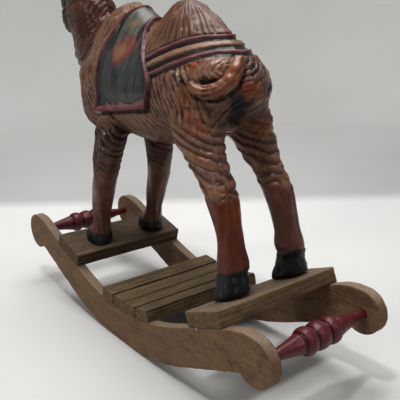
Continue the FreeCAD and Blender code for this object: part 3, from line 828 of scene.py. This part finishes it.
def drive(shader, socket, value):
    """Puts a node's output on one of the shader's sockets."""
    shader.id_data.links.new(value, shader.inputs[socket])


def scaled(vector, scale):
    return node("VectorMath", {0: vector, 1: scale}, operation="MULTIPLY").outputs[0]


def noise_node(vector, scale, detail, roughness=0.55):
    return node("TexNoise", {"Vector": vector, "Scale": scale, "Detail": detail,
                                   "Roughness": roughness}).outputs[0]


def stretched_noise(vector, scale, detail, roughness=0.55):
    return noise_node(scaled(vector, scale), 1.0, detail, roughness)


LOW_NOISE, HIGH_NOISE = 0.3, 0.7      # nearly all of a noise texture's values lie between these


def remap(value, low, high, from_low=LOW_NOISE, from_high=HIGH_NOISE):
    return node("MapRange", {"Value": value, "From Min": from_low, "From Max": from_high,
                                   "To Min": low, "To Max": high}).outputs[0]


def calc(operation, a, b):
    return node("Math", {0: a, 1: b}, operation=operation).outputs[0]


def times(a, b):
    return calc("MULTIPLY", a, b)


def product(*rows):
    """Values remapped and multiplied together. Each row says what remap() takes."""
    total = remap(*rows[0])
    for row in rows[1:]:
        total = times(total, remap(*row))
    return total


def summed(*terms):
    """Values added together, each times its weight."""
    total = 0.0
    for value, weight in terms:
        total = calc("ADD", total, times(value, weight))
    return total


def tinted(colour, factor):
    """The colour with its value multiplied by the factor."""
    return node("VectorMath", {0: colour, "Scale": factor}, operation="SCALE").outputs[0]


def blended(factor, a, b):
    """Colour a where the factor is 0 and colour b where it is 1."""
    a, b = (colour if is_output(colour) else (*colour, 1.0) for colour in (a, b))
    return node("Mix", {0: factor, 6: a, 7: b}, data_type="RGBA").outputs[2]


def carved_material():
    """Painted, stained and varnished carved wood that reads the paint, shine and stroke on the mesh."""
    dull, glossy = 0.6, 0.24       # roughness where there is no shine and where there is full shine
    material, tree, shader = principled("varnished_carving", Coat_Weight=0.45, Coat_Roughness=0.06, IOR=1.48,
                                        Specular_IOR_Level=0.25)
    paint = laid(tree, "paint", "Color")
    shine = laid(tree, "shine")
    stroke = laid(tree, "stroke", "Vector")
    place = object_place(tree)
    hair = stretched_noise(stroke, (1.5, 0.11, 1.0), 4.0, 0.6)
    grain = stretched_noise(stroke, (4.0, 0.5, 1.0), 2.0)
    mottle = noise_node(place, 130.0, 4.0, 0.6)
    specks = noise_node(place, 900.0, 2.0)
    factor = product((hair, 0.45, 1.6, 0.25, 0.75), (mottle, 0.7, 1.3, 0.25, 0.75))
    drive(shader, "Base Color", tinted(paint, factor))
    rough = calc("ADD", remap(shine, dull, glossy, 0.0, 1.0), remap(grain, -0.09, 0.09))
    drive(shader, "Roughness", calc("MAXIMUM", rough, 0.12))
    height = summed((hair, 1.0), (grain, 0.35), (specks, 0.12))
    drive(shader, "Normal", bumped(height, 0.8, 0.0007))
    drive(shader, "Coat Normal", bumped(height, 0.35, 0.0007))
    return material


# pale dust, also used as a painted glint on the glue drops
PALE_DUST_AND_GLINT = srgb(150, 140, 126)


def wood_material(name, pale, dark, grime, dustiness):
    """Old bare wood. Its grain follows the mesh's own grain coordinates, in mm along and across."""
    material, tree, shader = principled(name, IOR=1.45, Specular_IOR_Level=0.3)
    grain = laid(tree, "grain", "Vector")
    worn = laid(tree, "worn")
    shine = laid(tree, "shine")
    warp = stretched_noise(grain, (0.012, 0.05, 0.05), 2.0)
    bend = scaled(warp, (0.0, 4.0, 4.0))
    bent = node("VectorMath", {0: grain, 1: bend}, operation="ADD").outputs[0]
    rings = stretched_noise(bent, (0.012, 0.42, 0.42), 4.0, 0.6)
    fibre = stretched_noise(grain, (0.09, 2.4, 2.4), 3.0, 0.6)
    blotch = stretched_noise(grain, (0.04, 0.07, 0.07), 4.0, 0.7)
    flecks = stretched_noise(grain, (0.8, 1.3, 1.3), 2.0)
    pores = stretched_noise(grain, (0.35, 3.6, 3.6), 1.0)
    colour = blended(remap(rings, 0.0, 1.0, 0.32, 0.68), dark, pale)
    colour = blended(remap(blotch, 0.0, 0.75, 0.48, 0.74), colour, grime)
    colour = blended(times(laid(tree, "dust"), dustiness), colour, PALE_DUST_AND_GLINT)
    colour = blended(times(laid(tree, "grime"), 0.9), colour, grime * 0.4)
    factor = product((fibre, 0.72, 1.25), (pores, 0.75, 1.1, 0.32, 0.6), (worn, 1.0, 1.25, -0.1, -0.8),
                     (flecks, 0.8, 1.2))
    drive(shader, "Base Color", tinted(colour, factor))
    rough = calc("SUBTRACT", remap(blotch, 0.85, 0.55), times(shine, 0.5))
    drive(shader, "Roughness", rough)
    height = summed((fibre, 0.5), (rings, 0.8), (pores, 0.4))
    drive(shader, "Normal", bumped(height, 0.55, 0.0005))
    return material


def spindle_material(name, paint, worn_colour, groove):
    """Red paint rubbed through to grey on the crests and packed dark in the grooves."""
    material, tree, shader = principled(name, Coat_Weight=0.25, Coat_Roughness=0.2, IOR=1.48)
    grain = laid(tree, "grain", "Vector")
    worn = laid(tree, "worn")
    fine = stretched_noise(grain, (0.5, 1.1, 1.1), 4.0, 0.65)
    turning = stretched_noise(grain, (3.2, 0.15, 0.15), 2.0)
    broad = stretched_noise(grain, (0.09, 0.12, 0.12), 3.0)
    rubbed = product((worn, 0.0, 0.9, 0.12, 0.75), (fine, 0.0, 1.3, 0.4, 0.62))
    colour = blended(remap(broad, 0.0, 0.5, 0.35, 0.7), paint, paint * 0.55)
    colour = blended(rubbed, colour, worn_colour)
    colour = blended(remap(worn, 0.0, 0.85, -0.12, -0.6), colour, groove)
    dirt = times(laid(tree, "grime"), remap(fine, 0.5, 1.0, 0.35, 0.6))
    colour = blended(dirt, colour, groove)
    drive(shader, "Base Color", tinted(colour, remap(turning, 0.8, 1.2)))
    drive(shader, "Roughness", remap(fine, 0.35, 0.65))
    height = summed((fine, 0.5), (turning, 0.5))
    drive(shader, "Normal", bumped(height, 0.5, 0.0004))
    return material


def small_part_material(name, pale, dark, metallic, roughness, scale):
    """A noise-mottled finish for dowels, screws and pins, which keep their CAD meshes."""
    material, tree, shader = principled(name, Metallic=metallic)
    place = object_place(tree)
    mottle = noise_node(place, scale, 4.0, 0.65)
    drive(shader, "Base Color", blended(remap(mottle, 0.0, 1.0, 0.35, 0.65), dark, pale))
    drive(shader, "Roughness", remap(mottle, roughness + 0.15, roughness))
    drive(shader, "Normal", bumped(mottle, 0.4, 0.0002))
    return material


# ---- the camel's pieces

# in the order in which camel_grid() numbers them
CAMEL_PIECES = ("torso", "neck_and_head", "front_left_leg", "front_right_leg", "rear_left_leg",
                "rear_right_leg")


def make_camel():
    grid, owner_grid = camel_grid()
    points, faces = surface_net(grid)
    points = smoothed(points, faces, 1)
    cell = np.clip(np.round((points - grid.low) / grid.step).astype(int), 0, grid.count - 1)
    owner = owner_grid[tuple(cell.T)]
    face_owner = np.median(owner[faces], axis=1).astype(int)
    normals = point_normals(points, faces)
    relief, colours, shine, stroke = decorate(points, normals, owner)
    paint = np.pad(colours, ((0, 0), (0, 1)), constant_values=1.0)
    points = points + normals * relief[:, None]
    varnished = carved_material()
    for number, name in enumerate(CAMEL_PIECES):
        used, quads, triangles, apexes = split(points, faces, face_owner, number)
        spare = np.zeros(len(apexes), int) + used[0]
        rows = np.concatenate([used, spare])
        obj = make_mesh("carved_" + name, np.concatenate([points[used], apexes]), quads, triangles)
        set_values(obj, paint=paint[rows], shine=shine[rows], stroke=stroke[rows])
        obj.data.materials.append(varnished)
        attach(obj, "root")
        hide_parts(name)


# ---- the rocker's pieces

def fine_copy(name, step):
    """Points in mm and faces of an evenly meshed copy of a CAD node."""
    work = new_object("work", nodes[name].data.copy())
    remesh = work.modifiers.new("even", "REMESH")
    remesh.mode = "VOXEL"
    remesh.voxel_size = step * MM
    made = work.evaluated_get(bpy.context.evaluated_depsgraph_get()).to_mesh()
    points = np.zeros(len(made.vertices) * 3)
    made.vertices.foreach_get("co", points)
    faces = np.zeros(len(made.loops), np.int32)
    made.loops.foreach_get("vertex_index", faces)
    bpy.data.objects.remove(work)
    return points.reshape(-1, 3) / MM, faces.reshape(-1, 4)


FULLY_WORN = 0.5       # mm that an edge stands out from its surroundings where it is rubbed most


def weathered(name, along, material, seed, step=WOOD_STEP, dent=0.45, marks=None):
    """A worn copy of a CAD node. along is the axis its grain runs on: 0 for X, 1 for Y."""
    points, faces = fine_copy(name, step)
    normals = point_normals(points, faces)
    x, y, z = points.T
    mean = smoothed(points, faces, 3)
    worn = np.clip(((points - mean) * normals).sum(axis=1) / FULLY_WORN, -1.0, 1.0)
    worn = smoothed(worn[:, None], faces, 2)[:, 0]
    stretch = np.ones(3)
    stretch[along] = 0.12
    gx, gy, gz = (points * stretch).T
    relief = 0.2 * noise(gx, gy, gz, 2.2, seed) + 0.16 * noise(x, y, z, 24.0, seed + 1)
    knocks = unit(noise(x, y, z, 5.0, seed + 2) - 0.15)
    relief -= dent * knocks * unit(worn * 2.0)
    shine = np.zeros_like(x)
    grime = np.zeros_like(x)
    dust = smoothstep(normals[:, 2] + 0.25 * noise(x, y, z, 12.0, seed + 3), 0.45, 0.95)
    if marks is not None:
        add, shine, grime = marks(x, y, z)
        relief = relief + add
        # shining glue drops take the pale colour too: partly dried glue, partly a painted glint
        dust = np.maximum(dust, 2.0 * shine)
    obj = make_mesh("worn_" + name, points + normals * relief[:, None], faces)
    others = [i for i in range(3) if i != along]
    grain = points[:, [along] + others] + 137.0 * seed
    set_values(obj, grain=grain, worn=worn, shine=shine, dust=dust, grime=grime)
    obj.data.materials.append(material)
    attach(obj, "root")
    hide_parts(name)


def left_runner_marks(x, y, z):
    """A saw cut at the rear club's notch, a seam ahead of the front board and two drops of old glue."""
    outside = y < -60.0
    seam = ridge(x + 104.0 + 0.75 * (z - 38.0), 0.9) * within(z, 25.0, 52.0, 2.0)
    kerf = ridge(x - 164.0 + 0.55 * (z - 49.0), 0.8) * within(z, 44.0, 54.0, 1.0)
    drops = ridge(np.hypot(x - 107.5, z - 59.8), 2.6) + ridge(np.hypot(x - 121.8, z - 63.2), 2.2)
    drops = drops * outside
    return -0.7 * seam - 1.1 * kerf + 1.1 * drops, unit(drops * 1.2), unit(seam + kerf)


def slat_marks(x, y, z):
    """Top arrises worn round and packed with dirt, which parts a slat from its neighbours."""
    way = np.linalg.eigh(np.cov(np.stack([x, z])))[1][:, -1]
    along = (x - x.mean()) * way[0] + (z - z.mean()) * way[1]
    across = (z - z.mean()) * abs(way[0]) - (x - x.mean()) * way[1] * np.sign(way[0])
    edge = np.minimum(along - along.min(), along.max() - along)
    groove = fade(edge, 0.3, 1.7) * fade(across.max() - across, 1.0, 2.5)
    return -0.7 * groove, 0.0 * x, groove


BEAD_SPREAD = (7.3, 19.9)       # how far the grooves beside the beads lie from a spindle's middle


def spindle_marks(x, y, z):
    """Turned grooves beside the beads and a faint ring near each end."""
    from_middle = np.abs(y)
    grooves = sum(ridge(from_middle - at, 1.5) for at in BEAD_SPREAD) + 0.4 * ridge(from_middle - 44.0, 0.8)
    return -1.0 * grooves, 0.0 * x, unit(grooves)


def make_rocker():
    runner_wood = wood_material("runner_wood", srgb(131, 105, 82), srgb(118, 94, 73), srgb(64, 48, 37), 0.5)
    board_wood = wood_material("board_wood", srgb(112, 94, 72), srgb(74, 58, 42), srgb(40, 30, 22), 0.12)
    rear_wood = wood_material("rear_board_wood", srgb(132, 109, 84), srgb(90, 71, 53), srgb(48, 36, 27), 0.3)
    slat_wood = wood_material("slat_wood", srgb(126, 106, 76), srgb(84, 66, 42), srgb(44, 32, 20), 0.1)
    red = spindle_material("worn_red_paint", srgb(96, 30, 36), srgb(112, 90, 88), srgb(22, 8, 10))
    weathered("left_runner", 0, runner_wood, 1, marks=left_runner_marks)
    weathered("right_runner", 0, runner_wood, 2)
    weathered("front_board", 1, board_wood, 3)
    weathered("rear_board", 1, rear_wood, 4)
    for number in range(1, 5):
        weathered(f"slat_{number}", 1, slat_wood, 4 + number, FINE_STEP, 0.3, slat_marks)
    weathered("front_spindle", 1, red, 11, FINE_STEP, 0.15, spindle_marks)
    weathered("rear_spindle", 1, red, 12, FINE_STEP, 0.15, spindle_marks)
    dowel = small_part_material("dowel_wood", srgb(150, 122, 88), srgb(104, 78, 50), 0.0, 0.6, 400.0)
    steel = small_part_material("dull_steel", srgb(120, 116, 110), srgb(60, 52, 46), 0.85, 0.4, 700.0)
    for name, finish in (("neck_dowel", dowel), ("leg_dowels", dowel), ("leg_screws", steel),
                         ("board_pins", steel), ("slat_pins", steel)):
        nodes[name].data.materials.clear()
        nodes[name].data.materials.append(finish)


# ---- stage, lights and camera

# how far the painted shade behind the camel and up the wall darkens the paper
BACKDROP_SHADE = 0.7
BACKDROP_EDGE = (0.41, 0.46)       # metres behind the rocker's middle, seen from the camera


def make_stage():
    """A pale round floor that curves up into a wall, with painted shade making it darker towards the camera,
    behind the camel and up the wall, and painted light making it brighter far away.
    """
    floor_radius, bend, top, turns, bend_steps = 1.25, 0.3, 2.2, 96, 12
    profile = [(0.05, 0.0), (0.4, 0.0), (0.8, 0.0)]
    for step in range(bend_steps + 1):
        angle = math.pi / 2.0 * step / bend_steps
        profile.append((floor_radius + bend * math.sin(angle), bend - bend * math.cos(angle)))
    profile.append((floor_radius + bend, top))
    points, faces = [], []
    for radius, height in profile:
        for turn in range(turns):
            angle = 2.0 * math.pi * turn / turns
            points.append((radius * math.cos(angle), radius * math.sin(angle), height))
    for ring in range(len(profile) - 1):
        for turn in range(turns):
            following = (turn + 1) % turns
            faces.append((ring * turns + turn, ring * turns + following,
                          (ring + 1) * turns + following, (ring + 1) * turns + turn))
    faces.append(tuple(reversed(range(turns))))
    mesh = bpy.data.meshes.new("floor")
    mesh.from_pydata(points, [], faces)
    for face in mesh.polygons:
        face.use_smooth = True
    floor = new_object("floor", mesh)
    floor.rotation_euler = (0.0, 0.0, math.radians(CAMERA_YAW - 90.0))
    material, tree, shader = principled("pale_paper", Roughness=0.85, Specular_IOR_Level=0.2)
    place = object_place(tree)
    cloud = noise_node(place, 2.2, 2.0)
    apart = node("SeparateXYZ", {0: place})
    away, height = apart.outputs["Y"], apart.outputs["Z"]
    pale = blended(remap(cloud, 0.0, 1.0), (0.70, 0.70, 0.685), (0.76, 0.76, 0.745))
    # painted shade: the floor darker towards the camera
    pale = tinted(pale, remap(away, 0.74, 1.0, -0.35, 0.4))
    # painted shade: a tone darker behind the camel and up the wall
    behind = remap(away, 1.0, BACKDROP_SHADE, *BACKDROP_EDGE)
    up_the_wall = remap(height, 1.0, BACKDROP_SHADE, 0.05, 0.45)
    pale = tinted(pale, calc("MINIMUM", behind, up_the_wall))
    # painted light: the far floor and the wall made brighter away from the camel
    pale = tinted(pale, remap(away, 1.0, 1.55, 0.5, 1.2))
    drive(shader, "Base Color", pale)
    mesh.materials.append(material)


CAMERA_AT = Vector((450.8, -312.0, 289.0)) * MM
CAMERA_YAW = 142.42       # degrees from +X, turning toward +Y
CAMERA_PITCH = 16.34      # degrees below the horizon
CAMERA_ROLL = -1.23
CAMERA_LENS = 52.87
LIT_POINT = Vector((0.0, 0.0, 0.15))      # the lamps face this point


def aim(direction, roll=0.0):
    turned = direction.to_track_quat("-Z", "Y").to_matrix()
    return (turned @ Matrix.Rotation(math.radians(roll), 3, "Z")).to_4x4()


def make_camera():
    camera = new_object("camera", bpy.data.cameras.new("camera"))
    camera.data.sensor_width = 36.0
    camera.data.lens = CAMERA_LENS
    camera.data.clip_start = 0.01
    yaw, pitch = math.radians(CAMERA_YAW), math.radians(CAMERA_PITCH)
    forward = Vector((math.cos(yaw) * math.cos(pitch), math.sin(yaw) * math.cos(pitch), -math.sin(pitch)))
    camera.matrix_world = Matrix.Translation(CAMERA_AT) @ aim(forward, CAMERA_ROLL)
    bpy.context.scene.camera = camera


def area_light(name, at, size, power, tone=(1.0, 1.0, 1.0)):
    lamp = bpy.data.lights.new(name, "AREA")
    lamp.shape = "RECTANGLE"
    lamp.size, lamp.size_y = size
    lamp.energy = power
    lamp.color = tone
    obj = new_object(name, lamp)
    obj.matrix_world = Matrix.Translation(Vector(at)) @ aim(LIT_POINT - Vector(at))


def make_lights():
    area_light("ceiling_back", (-0.2, 0.12, 1.2), (0.8, 0.6), 13.0)
    area_light("ceiling_near", (0.2, -0.3, 1.2), (0.11, 0.11), 5.2)
    area_light("window", (-0.05, -1.2, 0.8), (0.3, 0.3), 4.5, (1.0, 0.99, 0.97))
    area_light("room", (0.95, 0.15, 0.8), (0.4, 0.4), 1.7)
    world = bpy.data.worlds.new("room")
    world.use_nodes = True
    background = world.node_tree.nodes["Background"].inputs
    background["Color"].default_value = (0.93, 0.95, 1.0, 1.0)
    background["Strength"].default_value = 0.3
    bpy.context.scene.world = world
    view = bpy.context.scene.view_settings
    view.view_transform = "Standard"
    view.gamma = 0.84
    view.exposure = -0.12


make_camel()
make_rocker()
make_stage()
make_camera()
make_lights()
